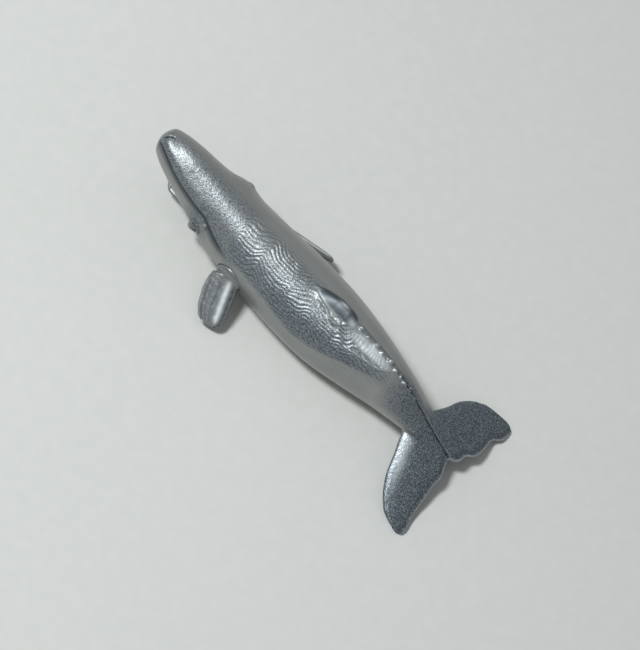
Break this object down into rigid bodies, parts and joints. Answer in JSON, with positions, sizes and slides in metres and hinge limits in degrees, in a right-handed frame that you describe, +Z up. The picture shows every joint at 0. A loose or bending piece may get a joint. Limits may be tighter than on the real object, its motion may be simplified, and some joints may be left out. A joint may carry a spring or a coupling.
{
  "type": "whale figurine",
  "caption": "Small sperm whale figure with a two-part hollow body, turning flippers and a hinged lower jaw, standing on its belly.",
  "frame": {"origin": "under the middle of the figure, on the surface that it stands on", "axes": "nose towards -X, flukes towards +X, right side +Y, back up along +Z"},
  "size_m": [0.0756, 0.0288, 0.0156],
  "materials": {
    "body_skin": "satin metallic grey paint",
    "fin_skin": "satin metallic grey paint",
    "jaw_skin": "satin metallic grey paint",
    "collar": "plain moulded",
    "pin": "drawn wire",
    "eye": "gloss"
  },
  "bodies": {
    "whale_body": {"left_body_shell": "body_skin", "right_body_shell": "body_skin", "jaw_pin": "pin", "left_eye": "eye", "right_eye": "eye"},
    "jaw": {"lower_jaw": "jaw_skin"},
    "left_fin": {"left_flipper": "fin_skin", "left_flipper_retainer": "collar"},
    "right_fin": {"right_flipper": "fin_skin", "right_flipper_retainer": "collar"}
  },
  "joints": [
    {"name": "left_flipper_swivel", "type": "hinge", "parent": "whale_body", "child": "left_fin", "pos_m": [-0.0132, -0.0052, 0.0059], "axis": [0, -1, 0], "range_deg": [0, 70]},
    {"name": "right_flipper_swivel", "type": "hinge", "parent": "whale_body", "child": "right_fin", "pos_m": [-0.0132, 0.0052, 0.0059], "axis": [0, -1, 0], "range_deg": [0, 70]},
    {"name": "jaw_hinge", "type": "hinge", "parent": "whale_body", "child": "jaw", "pos_m": [-0.0206, 0, 0.0026], "axis": [0, 1, 0], "range_deg": [0, 17]}
  ]
}
